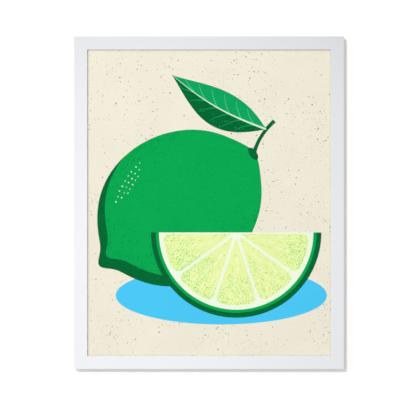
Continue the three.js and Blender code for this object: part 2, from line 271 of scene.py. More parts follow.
def inside(poly, x, z):
    hit = False
    j = len(poly) - 1
    for i in range(len(poly)):
        xi, zi = poly[i]
        xj, zj = poly[j]
        if (zi > z) != (zj > z) and x < (xj - xi) * (z - zi) / (zj - zi) + xi:
            hit = not hit
        j = i
    return hit


def edge_distance(poly, x, z):
    best = 1e9
    j = len(poly) - 1
    for i in range(len(poly)):
        ax, az = poly[j]
        bx, bz = poly[i]
        dx, dz = bx - ax, bz - az
        t = max(0.0, min(1.0, ((x - ax) * dx + (z - az) * dz) / max(dx * dx + dz * dz, 1e-12)))
        best = min(best, math.hypot(x - ax - t * dx, z - az - t * dz))
        j = i
    return best


def strip(path, widths):
    """A ribbon along a path, with a half width at each point."""
    left, right = [], []
    for i, (x, z) in enumerate(path):
        ax, az = path[max(i - 1, 0)]
        bx, bz = path[min(i + 1, len(path) - 1)]
        d = math.hypot(bx - ax, bz - az)
        nx, nz = -(bz - az) / d, (bx - ax) / d
        w = widths[i]
        left.append((x + nx * w, z + nz * w))
        right.append((x - nx * w, z - nz * w))
    return right + left[::-1]


def bend(p0, p1, p2, n=14):
    return [
        (
            (1 - t) ** 2 * p0[0] + 2 * t * (1 - t) * p1[0] + t * t * p2[0],
            (1 - t) ** 2 * p0[1] + 2 * t * (1 - t) * p1[1] + t * t * p2[1],
        )
        for t in (i / n for i in range(n + 1))
    ]


# whole lime: an oval with a small nipple at the lower left and a neck at the stem
LIME_AT, LIME_TURN = (-46.0, -6.0), math.radians(36)
LIME_LONG, LIME_WIDE = 139.0, 120.0


def lime_outline(grow=1.0, dx=0.0, dz=0.0, n=220):
    points = []
    for i in range(n):
        t = 2 * math.pi * i / n
        away = abs(t - math.pi)
        near = min(t, 2 * math.pi - t)
        x = LIME_LONG * math.cos(t)
        z = LIME_WIDE * math.sin(t) * (1 - 0.05 * math.cos(t))
        x -= 17.0 * math.exp(-((away / 0.125) ** 2)) + 7.0 * math.exp(-((away / 0.36) ** 2))
        x += 9.0 * math.exp(-((near / 0.26) ** 2))
        points.append((x * grow, z * grow))
    return turned(points, LIME_TURN, LIME_AT[0] + dx, LIME_AT[1] + dz)


lime = lime_outline()
lime_lit = lime_outline(0.975, 9.0, 13.0)
end_long = LIME_LONG + 8.0
stem_foot = (
    LIME_AT[0] + end_long * math.cos(LIME_TURN),
    LIME_AT[1] + end_long * math.sin(LIME_TURN),
)

# stem and leaf
stem_top = (stem_foot[0] + 33.0, stem_foot[1] + 52.0)
stem_path = bend(stem_foot, (stem_foot[0] + 8.0, stem_foot[1] + 30.0), stem_top, 14)
stem = strip(stem_path, [3.4 - 0.6 * math.sin(math.pi * i / 14) for i in range(15)])
calyx = ellipse(stem_foot[0] - 1.5, stem_foot[1] - 1.0, 6.0, 11.5, 28, LIME_TURN)

leaf_base = (stem_path[10][0] - 1.0, stem_path[10][1])
LEAF_LONG, LEAF_HALF, LEAF_TURN = 176.0, 30.0, math.radians(150)


def leaf_at(s, off=0.0):
    x, z = s * LEAF_LONG, off - 9.0 * math.sin(math.pi * s) * -1.0
    return turned([(x, z)], LEAF_TURN, *leaf_base)[0]


def leaf_half(s):
    return LEAF_HALF * math.sin(math.pi * s ** 0.84) ** 1.12 if 0 < s < 1 else 0.0


steps = [i / 44 for i in range(45)]
spine = [leaf_at(s) for s in steps]
side_a = [leaf_at(s, leaf_half(s)) for s in steps]
side_b = [leaf_at(s, -leaf_half(s)) for s in steps]
leaf_low = spine + side_a[-2:0:-1]
leaf_high = spine + side_b[-2:0:-1]
midrib = strip(spine[:-1], [1.7 - 1.35 * i / 43 for i in range(44)])
veins = []
for k in range(6):
    s0 = 0.11 + 0.125 * k
    for sign in (-1, 1):
        s1 = s0 + 0.13
        tip = leaf_at(s1, sign * leaf_half(s1) * 0.84)
        knee = leaf_at(s0 + 0.085, sign * leaf_half(s0 + 0.085) * 0.36)
        path = bend(leaf_at(s0), knee, tip, 8)
        veins.append(strip(path, [0.85 - 0.07 * i for i in range(9)]))

# half slice: flat side up, evenly spaced segments
SLICE_AT, SLICE_R = (44.0, -48.0), 138.0
RIND, GREEN_RING, PITH_RING = 8.0, 5.0, 7.0


def half_disc(r, drop=0.0, n=90, corner=0.0):
    points = []
    for i in range(n + 1):
        a = math.pi + math.pi * i / n
        points.append((SLICE_AT[0] + r * math.cos(a), SLICE_AT[1] - drop + r * math.sin(a)))
    return points


slice_out = half_disc(SLICE_R)
slice_green = half_disc(SLICE_R - RIND)
slice_pith = half_disc(SLICE_R - RIND - GREEN_RING)
FLESH_R = SLICE_R - RIND - GREEN_RING - PITH_RING
SEGMENTS, GAP = 5, 2.3


def segment(k):
    """A wedge between two membranes, with its corners rounded."""
    half = math.pi / SEGMENTS / 2
    mid = math.pi + (2 * k + 1) * half
    side = half - math.asin(GAP / FLESH_R)
    tip_r = GAP / math.sin(half)
    def at(r, a):
        return (r * math.cos(a), r * math.sin(a))
    corner_a = at(FLESH_R, -side)
    corner_b = at(FLESH_R, side)
    tip = (tip_r, 0.0)
    def along(p, q, d):
        length = math.hypot(q[0] - p[0], q[1] - p[1])
        return (p[0] + (q[0] - p[0]) * d / length, p[1] + (q[1] - p[1]) * d / length)
    cut, turn_cut = 15.0, 13.0 / FLESH_R
    points = bend(along(tip, corner_b, 5.0), tip, along(tip, corner_a, 5.0), 5)
    points += bend(along(corner_a, tip, cut), corner_a, at(FLESH_R, -side + turn_cut), 7)
    n = 12
    points += [at(FLESH_R, -side + turn_cut + (2 * side - 2 * turn_cut) * i / n) for i in range(1, n)]
    points += bend(at(FLESH_R, side - turn_cut), corner_b, along(corner_b, tip, cut), 7)
    return turned(points, mid, *SLICE_AT), mid


segments = [segment(k) for k in range(SEGMENTS)]

# juice sacs: drops that point to the middle
drops = []
rng = random.Random(41)
for poly, mid in segments:
    for row, r in enumerate((31.0, 45.0, 59.0, 73.0, 87.0, 101.0)):
        count = max(1, int(r * math.pi / SEGMENTS / 9.2))
        for i in range(count):
            a = mid + (i + 0.5 - count / 2 + (0.22 if row % 2 else -0.22)) * 8.6 / r + rng.uniform(-0.012, 0.012)
            rr = r + rng.uniform(-1.5, 1.5)
            long, wide = rng.uniform(4.6, 6.4), rng.uniform(1.25, 1.8)
            tear = []
            for j in range(14):
                t = 2 * math.pi * j / 14
                x = long * math.cos(t)
                z = wide * math.sin(t) * (0.5 + 0.5 * (x / long + 1) / 2 * 2) * 0.75
                tear.append((x, z))
            c = turned([(rr, 0)], a, *SLICE_AT)[0]
            tear = turned(tear, a, *c)
            if inside(poly, *c) and edge_distance(poly, *c) > 5.5:
                drops.append((tear, "drop_deep" if (row + i) % 2 else "drop_light"))

# ground shadow
ground = ellipse(20.0, -150.0, 171.0, 47.0, 110)

# print grain: small flecks, placed by chance but the same every run
flecks = []
taken = {}


def free(x, z, r):
    cx, cz = int(x // 4), int(z // 4)
    for i in range(cx - 1, cx + 2):
        for j in range(cz - 1, cz + 2):
            for ox, oz, orr in taken.get((i, j), ()):
                if math.hypot(ox - x, oz - z) < r + orr + 0.35:
                    return False
    return True


def fleck(x, z, r, ink, sides=6):
    if not free(x, z, r):
        return False
    taken.setdefault((int(x // 4), int(z // 4)), []).append((x, z, r))
    phase = rng.uniform(0, 6.28)
    squeeze = rng.uniform(0.65, 1.0)
    lean = rng.uniform(0, 3.14)
    pts = []
    for i in range(sides):
        t = phase + 2 * math.pi * i / sides
        k = r * rng.uniform(0.82, 1.12)
        pts.append((k * math.cos(t), k * squeeze * math.sin(t)))
    flecks.append((turned(pts, lean, x, z), ink))
    return True


SIGHT_X, SIGHT_Z = 199.0, 250.0
leaf_all = side_a + side_b[-2:0:-1]

# light dots where the lime shines, dark ones where it turns away
for row in range(3):
    for i in range(9 - 2 * row):
        t = math.radians(96 + 5.0 * (i + row))
        k = 0.80 - 0.055 * row
        x, z = turned([(LIME_LONG * k * math.cos(t), LIME_WIDE * k * math.sin(t))], LIME_TURN, *LIME_AT)[0]
        fleck(x + rng.uniform(-0.8, 0.8), z + rng.uniform(-0.8, 0.8), rng.uniform(0.9, 1.5), "shine", 8)
made = 0
while made < 430:
    x, z = rng.uniform(-200, 110), rng.uniform(-150, 130)
    if not inside(lime, x, z) or inside(slice_out, x, z):
        continue
    d = edge_distance(lime_lit, x, z)
    lit = inside(lime_lit, x, z)
    if lit and rng.random() < math.exp(-d / 15.0) * (1.0 if (x < LIME_AT[0] or z < LIME_AT[1]) else 0.08):
        made += fleck(x, z, rng.uniform(0.5, 1.1), "dark")
    elif lit and rng.random() < 0.05:
        made += fleck(x, z, rng.uniform(0.35, 0.75), "dark" if rng.random() < 0.6 else "fresh")
    elif not lit and rng.random() < 0.1:
        made += fleck(x, z, rng.uniform(0.4, 0.8), "green")
made = 0
while made < 430:
    x, z = rng.uniform(-95, 185), rng.uniform(-190, -50)
    r = math.hypot(x - SLICE_AT[0], z - SLICE_AT[1])
    if r > FLESH_R - 1 or not any(inside(p, x, z) for p, _ in segments):
        continue
    if rng.random() < math.exp(-(FLESH_R - r) / 15.0):
        made += fleck(x, z, rng.uniform(0.5, 1.0), "fresh")
made = 0
while made < 60:
    x, z = rng.uniform(-80, 120), rng.uniform(60, 230)
    if inside(leaf_all, x, z):
        made += fleck(x, z, rng.uniform(0.35, 0.7), "vein")
# on the bare paper, some flecks stand alone and some lie in loose clusters
heaps = [(rng.uniform(-SIGHT_X, SIGHT_X), rng.uniform(-SIGHT_Z, SIGHT_Z), rng.uniform(9, 26)) for _ in range(46)]
made = 0
while made < 900:
    if rng.random() < 0.3:
        x, z = rng.uniform(-SIGHT_X, SIGHT_X), rng.uniform(-SIGHT_Z, SIGHT_Z)
    else:
        hx, hz, spread = rng.choice(heaps)
        x, z = rng.gauss(hx, spread), rng.gauss(hz, spread)
    r = rng.choice((0.35, 0.4, 0.45, 0.5, 0.6, 0.7, 0.85, 1.15))
    if abs(x) > SIGHT_X or abs(z) > SIGHT_Z:
        continue
    if inside(lime, x, z) or inside(slice_out, x, z) or inside(leaf_all, x, z) or inside(ground, x, z):
        continue
    made += fleck(x, z, r, "fleck" if rng.random() < 0.45 else "fleck_dark")

INKS = {
    "paper": srgb(240, 235, 216),
    "sky": srgb(75, 201, 246),
    "green": srgb(5, 168, 81),
    "leaf": srgb(10, 165, 95),
    "dark": srgb(0, 104, 52),
    "flesh": srgb(235, 248, 170),
    "pith": srgb(240, 251, 228),
    "drop_deep": srgb(221, 241, 142),
    "drop_light": srgb(245, 252, 205),
    "fresh": srgb(70, 200, 95),
    "vein": srgb(84, 196, 128),
    "shine": srgb(205, 240, 205),
    "fleck": srgb(160, 151, 132),
    "fleck_dark": srgb(92, 86, 74),
}
INK_ORDER = list(INKS)

shapes = []  # (outline, name)
W2, H2 = (sheet_high.x - sheet_low.x) / 2 / MM, (sheet_high.z - sheet_low.z) / 2 / MM
shapes.append(([(-W2, -H2), (W2, -H2), (W2, H2), (-W2, H2)], "paper"))
shapes.append((ground, "ground"))
shapes.append((lime, "lime"))
shapes.append((lime_lit, "lime_lit"))
shapes.append((calyx, "calyx"))
shapes.append((stem, "stem"))
shapes.append((leaf_low, "leaf_low"))
shapes.append((leaf_high, "leaf_high"))
shapes += [(v, "vein") for v in veins]
shapes.append((midrib, "midrib"))
shapes.append((slice_out, "slice_out"))
shapes.append((slice_green, "slice_green"))
shapes.append((slice_pith, "slice_pith"))
shapes += [(p, "segment") for p, _ in segments]
shapes += [(p, ink) for p, ink in drops]
shapes += [(p, "fleck:" + ink) for p, ink in flecks]


def ink_of(held):
    """The ink of a spot, from the shapes that hold it."""
    for name in held:
        if name.startswith("fleck:"):
            return name[6:]
    if "slice_out" in held:
        if "segment" in held:
            for name in ("drop_deep", "drop_light"):
                if name in held:
                    return name
            return "flesh"
        if "slice_pith" in held:
            return "pith"
        return "green" if "slice_green" in held else "dark"
    if "midrib" in held:
        return "shine"
    if "leaf_low" in held or "leaf_high" in held:
        low = "leaf_low" in held
        if "vein" in held:
            return "leaf" if low else "vein"
        return "dark" if low else "leaf"
    if "stem" in held or "calyx" in held:
        return "dark"
    if "lime" in held:
        return "green" if "lime_lit" in held else "dark"
    return "sky" if "ground" in held else "paper"


def area(poly):
    return sum(a[0] * b[1] - b[0] * a[1] for a, b in zip(poly, poly[1:] + poly[:1])) / 2


verts, faces = [], []
for poly, name in shapes:
    if area(poly) < 0:
        poly = poly[::-1]
    first = len(verts)
    verts += [Vector(p) for p in poly]
    faces.append(list(range(first, len(verts))))
# a loose grid of extra points keeps the larger triangles well shaped
for i in range(-7, 8):
    for j in range(-9, 10):
        verts.append(Vector((i * 26.0 + 1.3, j * 26.0 + 0.7)))
flat_v, _, flat_f, _, _, owners = delaunay_2d_cdt(verts, [], faces, 1, 1e-5, True)

print_front, print_back = sheet_low.y, sheet_high.y
bm = bmesh.new()
layer_v = [bm.verts.new((v.x * MM, print_front, mid_z + v.y * MM)) for v in flat_v]
names = [name for _, name in shapes]
for tri, own in zip(flat_f, owners):
    a, b, c = (flat_v[i] for i in tri)
    twice = (b.x - a.x) * (c.y - a.y) - (c.x - a.x) * (b.y - a.y)
    if abs(twice) < 1e-9:
        continue
    order = tri if twice > 0 else tri[::-1]
    try:
        f = bm.faces.new([layer_v[i] for i in order])
    except ValueError:
        continue
    f.material_index = INK_ORDER.index(ink_of({names[i] for i in own}))
bmesh.ops.delete(bm, geom=[v for v in bm.verts if not v.link_faces], context="VERTS")
# the four sides and the back, in a fixed order so that every run gives the same mesh
rim = {v for e in bm.edges if len(e.link_faces) == 1 for v in e.verts}
rim = sorted(rim, key=lambda v: math.atan2(v.co.z - mid_z, v.co.x))
back = [bm.verts.new((v.co.x, print_back, v.co.z)) for v in rim]
for i, v in enumerate(rim):
    j = (i + 1) % len(rim)
    bm.faces.new((v, rim[j], back[j], back[i]))
bm.faces.new(back)
bmesh.ops.recalc_face_normals(bm, faces=bm.faces)
mesh = bpy.data.meshes.new("printed_sheet")
bm.to_mesh(mesh)
bm.free()
printed = link_to_scene("printed_sheet", mesh)


def ink_material(name, colour):
    """Matt ink on toothy paper: slight mottle, tiny pinholes, and the paper's own tooth."""
    s = Shader("ink_" + name)
    broad = s.noise(14, 2.0, 0.5)
    fine = s.noise(900, 3.0, 0.6)
    grain = s.noise(2600, 1.0, 0.5)
    tone = s.mix(s.spread(broad, 0.3, 0.7), shade(colour, 0.975), shade(colour, 1.02))
    tone = s.mix(s.spread(fine, 0.35, 0.65, 0.0, 0.5), tone, shade(colour, 0.93))
    rolled = s.noise(520, 2.0, 0.55, stretch=(1.0, 1.0, 0.7))
    tone = s.mix(s.spread(rolled, 0.58, 0.74, 0.0, 0.45), tone, shade(colour, 0.84 if name != "paper" else 0.95))
    if name != "paper":
        holes = s.spread(grain, 0.72, 0.78, 0.0, 0.25)
        tone = s.mix(holes, tone, INKS["paper"])
    else:
        fibre = s.noise(420, 3.0, 0.7, stretch=(1.0, 1.0, 0.35), distort=1.5)
        tone = s.mix(s.spread(fibre, 0.60, 0.75, 0.0, 0.25), tone, shade(colour, 0.86))
        # specks of bark and ink in the stock, thick in some places and thin in others
        crowd = s.spread(s.noise(13, 2.0, 0.55, shift=(0.7, 0, 2.3)), 0.48, 0.66, 0.005, 0.17)
        fine = s.dots(0.0021, crowd, 0.12, 0.27)
        tone = s.mix(s.math("MULTIPLY", fine, 0.8), tone, srgb(150, 141, 122))
        crowd = s.spread(s.noise(9, 2.0, 0.55, shift=(4.1, 0, 0.4)), 0.48, 0.68, 0.004, 0.05)
        coarse = s.dots(0.0047, crowd, 0.09, 0.15, shift=(0.0013, 0.0007, 0))
        tone = s.mix(coarse, tone, srgb(96, 89, 76))
    if name == "flesh":
        crowd = s.spread(s.noise(17, 2.0, 0.55, shift=(1.9, 0, 5.2)), 0.46, 0.60, 0.015, 0.66)
        spray = s.dots(0.0023, crowd, 0.18, 0.38)
        tone = s.mix(spray, tone, srgb(96, 222, 104))
    if name in ("green", "leaf"):
        crowd = s.spread(s.noise(15, 2.0, 0.55, shift=(3.3, 0, 1.2)), 0.44, 0.64, 0.03, 0.34)
        spray = s.dots(0.0023, crowd, 0.14, 0.32)
        tone = s.mix(s.math("MULTIPLY", spray, 0.6), tone, INKS["dark"])
    if name == "dark":
        crowd = s.spread(s.noise(15, 2.0, 0.55, shift=(1.3, 0, 6.2)), 0.44, 0.64, 0.03, 0.34)
        spray = s.dots(0.0023, crowd, 0.14, 0.30)
        tone = s.mix(s.math("MULTIPLY", spray, 0.45), tone, INKS["green"])
    tooth = s.bump(s.noise(1500, 3.0, 0.65), 0.12, 0.00006)
    s.set(color=tone, rough=s.spread(fine, 0.3, 0.7, 0.66, 0.82), normal=tooth, spec=0.05)
    return s.mat


give(printed, *[ink_material(n, c) for n, c in INKS.items()])
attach(printed, "frame")
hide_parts("art_print")


# ------------------------------------------------------------------ painted wood

WHITE = srgb(235, 236, 239)
# painted light falloff: terms of a gradient that paints the white brighter low on the left and darker towards the
# upper right and the edges
PAINTED_LIGHT_FALLOFF = (1.024, -0.038, -0.053, -0.038, -0.057)


def painted_wood(name, along, tone):
    """Satin white paint on the front and sides, bare pale pine on the back and in the rebate."""
    s = Shader(name)
    white = shade(WHITE, tone)
    long_grain = (0.05, 1, 1) if along == "x" else (1, 1, 0.05)
    x, y, z = s.axes()
    # painted light and shade: the white is painted brightest low on the left and darker towards the upper right, a
    # light falloff held in the colour
    u = s.math("DIVIDE", x, half_w)
    v = s.math("DIVIDE", s.math("SUBTRACT", z, mid_z), (top_z - bottom_z) / 2)
    coat = s.math("MULTIPLY_ADD", u, PAINTED_LIGHT_FALLOFF[1], PAINTED_LIGHT_FALLOFF[0])
    coat = s.math("MULTIPLY_ADD", v, PAINTED_LIGHT_FALLOFF[2], coat)
    coat = s.math("MULTIPLY_ADD", s.math("MULTIPLY", u, u), PAINTED_LIGHT_FALLOFF[3], coat)
    coat = s.math("MULTIPLY_ADD", s.math("MULTIPLY", v, v), PAINTED_LIGHT_FALLOFF[4], coat)
    broad = s.noise(9, 2.0, 0.5, shift=(3.1, 0, 1.7))
    paint = s.mix(s.spread(broad, 0.3, 0.7), shade(white, 0.985), white)
    pores = s.noise(1300, 2.0, 0.6, stretch=long_grain)
    paint = s.mix(s.spread(pores, 0.66, 0.8, 0.0, 0.10), paint, shade(white, 0.80))
    # the coat factor is painted light and shade, not a change in the paint
    paint = s.mix(1.0, paint, coat, "MULTIPLY")
    # bare wood
    rings = s.noise(260, 3.0, 0.6, stretch=long_grain, distort=0.6)
    pine = s.ramp(rings, (0.25, srgb(226, 196, 150)), (0.5, srgb(214, 178, 128)), (0.62, srgb(188, 146, 96)), (0.8, srgb(222, 190, 144)))
    pine = s.mix(s.spread(pores, 0.55, 0.8, 0.0, 0.5), pine, srgb(150, 108, 66))
    stray = s.noise(700, 2.0, 0.6)
    edge = s.math("ADD", y, s.math("MULTIPLY", s.math("SUBTRACT", stray, 0.5), 0.0007))
    behind = s.spread(edge, back_y - 0.00040, back_y - 0.00015)
    in_x = s.math("LESS_THAN", s.math("ABSOLUTE", x), half_w - 0.0133)
    in_z = s.math("LESS_THAN", s.math("ABSOLUTE", s.math("SUBTRACT", z, mid_z)), (top_z - bottom_z) / 2 - 0.0133)
    deep = s.math("GREATER_THAN", y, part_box("glazing")[0].y - 0.00022)
    rebate = s.math("MULTIPLY", s.math("MULTIPLY", in_x, in_z), deep)
    bare = s.math("MAXIMUM", behind, rebate)
    colour = s.mix(bare, paint, pine)
    peel = s.noise(850, 2.0, 0.5)
    rough = s.spread(peel, 0.3, 0.7, 0.36, 0.46)
    rough = s.math("ADD", rough, s.math("MULTIPLY", bare, 0.32), clamp=True)
    n = s.bump(peel, 0.14, 0.00015)
    n = s.bump(s.noise(1300, 2.0, 0.6, stretch=long_grain), 0.26, 0.00012, under=n)
    s.set(color=colour, rough=rough, normal=n, spec=0.45)
    return s.mat


# each length of moulding took the paint a little differently
for n, along, tone in (
    ("left_rail", "z", 1.003),
    ("bottom_rail", "x", 1.0),
    ("right_rail", "z", 1.002),
    ("top_rail", "x", 0.996),
):
    give(NODES[n], painted_wood("painted_" + n, along, tone))


# ------------------------------------------------------------------ glazing

def clear_sheet():
    """Clear acrylic: polished faces, with a faint green tint at the edges."""
    s = Shader("clear_acrylic")
    x, y, z = s.axes()
    rim_x = s.spread(s.math("ABSOLUTE", x), 0.2024, 0.2031)
    rim_z = s.spread(s.math("ABSOLUTE", s.math("SUBTRACT", z, mid_z)), 0.2532, 0.2539)
    rim = s.math("MAXIMUM", rim_x, rim_z)
    s.set(
        color=s.mix(rim, (1.0, 1.0, 1.0, 1), srgb(214, 236, 232)),
        rough=s.spread(s.noise(30, 2.0, 0.5), 0.3, 0.7, 0.0, 0.012),
        trans=1.0,
        ior=1.49,
    )
    # light reaches the print straight through the sheet
    through = s.node("ShaderNodeBsdfTransparent")
    pick = s.node("ShaderNodeMixShader")
    s.put(pick.inputs[0], s.node("ShaderNodeLightPath").outputs["Is Camera Ray"])
    s.put(pick.inputs[1], through.outputs["BSDF"])
    s.put(pick.inputs[2], s.bsdf.outputs["BSDF"])
    s.put(s.out.inputs["Surface"], pick.outputs[0])
    return s.mat


give(NODES["glazing"], clear_sheet())


# ------------------------------------------------------------------ boards

def hardboard():
    """Pressed brown fibre, with faint arcs where the turn buttons swing across it."""
    s = Shader("hardboard")
    x, y, z = s.axes()
    fibres = s.noise(620, 4.0, 0.7, distort=1.1)
    clumps = s.noise(120, 3.0, 0.6)
    broad = s.noise(7, 2.0, 0.5)
    c = s.ramp(fibres, (0.3, srgb(96, 66, 42)), (0.5, srgb(126, 91, 60)), (0.72, srgb(156, 119, 82)))
    c = s.mix(s.spread(clumps, 0.45, 0.75, 0.0, 0.5), c, srgb(104, 72, 46))
    c = s.mix(s.spread(broad, 0.35, 0.65, 0.0, 0.35), c, srgb(146, 108, 73))
    strands = s.noise(900, 2.0, 0.5, stretch=(1.0, 1.0, 0.16), turn=(0, 0.6, 0))
    c = s.mix(s.spread(strands, 0.64, 0.74, 0.0, 0.45), c, srgb(186, 150, 108))
    flat = s.node("ShaderNodeCombineXYZ")
    s.put(flat.inputs[0], x)
    s.put(flat.inputs[2], z)
    worn = None
    for j in frame["joints"]:
        far = s.node("ShaderNodeVectorMath", operation="DISTANCE")
        s.put(far.inputs[0], flat.outputs[0])
        far.inputs[1].default_value = (j["pos_m"][0], 0, j["pos_m"][2])
        d = far.outputs["Value"]
        band = s.math("MULTIPLY", s.spread(d, 0.0140, 0.0155), s.spread(d, 0.0226, 0.0214))
        lines = s.node("ShaderNodeTexNoise", noise_dimensions="1D")
        s.put(lines.inputs["W"], d)
        lines.inputs["Scale"].default_value = 1400.0
        lines.inputs["Detail"].default_value = 3.0
        rub = s.math("MULTIPLY", band, s.spread(lines.outputs["Fac"], 0.5, 0.66))
        worn = rub if worn is None else s.math("MAXIMUM", worn, rub)
    patchy = s.spread(s.noise(60, 2.0, 0.5), 0.35, 0.6, 0.25, 1.0)
    worn = s.math("MULTIPLY", worn, patchy)
    c = s.mix(s.math("MULTIPLY", worn, 0.5), c, srgb(178, 146, 112))
    rough = s.math("SUBTRACT", s.spread(fibres, 0.3, 0.7, 0.52, 0.70), s.math("MULTIPLY", worn, 0.12))
    n = s.bump(fibres, 0.25, 0.0001)
    s.set(color=c, rough=rough, normal=s.bump(worn, 0.2, 0.00005, under=n))
    return s.mat


def kraft():
    s = Shader("kraft_card")
    f = s.noise(700, 4.0, 0.7, stretch=(1, 1, 0.4), distort=1.0)
    broad = s.noise(18, 2.0, 0.5)
    specks = s.noise(1500, 2.0, 0.5)
    c = s.ramp(f, (0.3, srgb(166, 126, 82)), (0.7, srgb(196, 158, 112)))
    c = s.mix(s.spread(broad, 0.35, 0.65, 0.0, 0.3), c, srgb(178, 138, 92))
    c = s.mix(s.spread(specks, 0.70, 0.76, 0.0, 0.5), c, srgb(120, 84, 50))
    s.set(color=c, rough=s.spread(f, 0.3, 0.7, 0.8, 0.9), normal=s.bump(f, 0.2, 0.00008))
    return s.mat


give(NODES["backing_board"], hardboard())


# ------------------------------------------------------------------ mesh helpers

def spaced(loop, step):
    """A closed loop with extra points so that no side is longer than step."""
    out = []
    for (ax, az), (bx, bz) in zip(loop, loop[1:] + loop[:1]):
        n = max(1, math.ceil(math.hypot(bx - ax, bz - az) / step - 1e-6))
        out += [(ax + (bx - ax) * i / n, az + (bz - az) * i / n) for i in range(n)]
    return out


def arc(cx, cz, r, a0, a1, n):
    return [(cx + r * math.cos(a0 + (a1 - a0) * i / n), cz + r * math.sin(a0 + (a1 - a0) * i / n)) for i in range(n + 1)]


def inset(loop, d):
    """A counter-clockwise loop moved inwards by d."""
    out = []
    n = len(loop)
    for i in range(n):
        ax, az = loop[i - 1]
        bx, bz = loop[i]
        cx, cz = loop[(i + 1) % n]
        l1, l2 = math.hypot(bx - ax, bz - az), math.hypot(cx - bx, cz - bz)
        n1 = (-(bz - az) / l1, (bx - ax) / l1)
        n2 = (-(cz - bz) / l2, (cx - bx) / l2)
        k = 1 + n1[0] * n2[0] + n1[1] * n2[1]
        k = max(k, 0.35)
        out.append((bx + d * (n1[0] + n2[0]) / k, bz + d * (n1[1] + n2[1]) / k))
    return out


def plate_mesh(name, outline, holes, thick, round_, steps=3, fill=None):
    """A flat plate in XZ (mm), y from 0 to thick, with every edge rounded. Returns a bmesh in mm."""
    if area(outline) < 0:
        outline = outline[::-1]
    # holes run clockwise, so that moving inwards from the metal's side widens them
    holes = [h if area(h) < 0 else h[::-1] for h in holes]
    bm = bmesh.new()
    section = []
    for i in range(steps + 1):
        t = math.pi / 2 * i / steps
        section.append((round_ * (1 - math.sin(t)), round_ * (1 - math.cos(t))))
    section += [(d, thick - y) for d, y in section[::-1]]
    caps = {0: [], 1: []}
    for loop in [outline] + holes:
        rings = []
        for d, y in section:
            pts = inset(loop, d) if d > 1e-9 else loop
            rings.append([bm.verts.new((x, y, z)) for x, z in pts])
        for lower, upper in zip(rings, rings[1:]):
            for i in range(len(loop)):
                j = (i + 1) % len(loop)
                bm.faces.new((lower[i], lower[j], upper[j], upper[i]))
        caps[0].append(rings[0])
        caps[1].append(rings[-1])
        # the flat faces keep their own flat shading
        for ring in (rings[0], rings[-1]):
            for i in range(len(ring)):
                bm.edges.get((ring[i], ring[(i + 1) % len(ring)])).smooth = False
    for side in (0, 1):
        coords, edges, made = [], [], []
        for ring in caps[side]:
            first = len(coords)
            coords += [Vector((v.co.x, v.co.z)) for v in ring]
            made += ring
            edges += [(first + i, first + (i + 1) % len(ring)) for i in range(len(ring))]
        y = caps[side][0][0].co.y
        for x, z in fill or ():
            if inside(inset(outline, 0.35 + round_), x, z) and not any(inside(inset(h, 0.35 + round_), x, z) for h in holes):
                coords.append(Vector((x, z)))
                made.append(bm.verts.new((x, y, z)))
        cv, _, cf, ov, _, _ = delaunay_2d_cdt(coords, edges, [], 1, 1e-7, True)
        link = [made[ids[0]] for ids in ov]
        inner = [[(p.co.x, p.co.z) for p in ring] for ring in caps[side][1:]]
        for tri in cf:
            cx = sum(cv[i].x for i in tri) / 3
            cz = sum(cv[i].y for i in tri) / 3
            if any(inside(h, cx, cz) for h in inner):
                continue
            try:
                bm.faces.new([link[i] for i in tri])
            except ValueError:
                pass
    # slivers outside the outline are the only faces with a free edge, so they are peeled away
    while True:
        loose = {f for e in bm.edges if len(e.link_faces) == 1 for f in e.link_faces}
        if not loose:
            break
        bmesh.ops.delete(bm, geom=list(loose), context="FACES")
    bmesh.ops.recalc_face_normals(bm, faces=bm.faces)
    return bm


def lathe_mesh(profile, n=40):
    """A solid of revolution round Y from (radius, y) pairs in mm; it starts and ends on the axis."""
    bm = bmesh.new()
    rings = []
    for r, y in profile:
        if r < 1e-9:
            rings.append([bm.verts.new((0, y, 0))])
        else:
            rings.append([bm.verts.new((r * math.cos(2 * math.pi * i / n), y, r * math.sin(2 * math.pi * i / n))) for i in range(n)])
    for a, b in zip(rings, rings[1:]):
        for i in range(n):
            j = (i + 1) % n
            if len(a) == 1:
                bm.faces.new((a[0], b[i], b[j]))
            elif len(b) == 1:
                bm.faces.new((a[i], b[0], a[j]))
            else:
                bm.faces.new((a[i], b[i], b[j], a[j]))
    bmesh.ops.recalc_face_normals(bm, faces=bm.faces)
    return bm


def crease(bm, sharp):
    """Smooth faces, with a hard edge wherever two faces meet at more than this many degrees."""
    for f in bm.faces:
        f.smooth = True
    for e in bm.edges:
        if len(e.link_faces) == 2 and e.calc_face_angle(0.0) > math.radians(sharp):
            e.smooth = False


def piece(bm, name, at, turn, material, body, node, sharp=32.0):
    """Turns a bmesh in mm about Y, places it, and hands it over in place of a CAD node."""
    me = bpy.data.meshes.new(name)
    move = Matrix.Translation(at) @ Matrix.Rotation(turn, 4, "Y") @ Matrix.Scale(MM, 4)
    bmesh.ops.transform(bm, matrix=move, verts=bm.verts)
    crease(bm, sharp)
    bm.to_mesh(me)
    bm.free()
    ob = link_to_scene(name, me)
    give(ob, material)
    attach(ob, body)
    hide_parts(node)
    return ob


# ------------------------------------------------------------------ metals and rubber

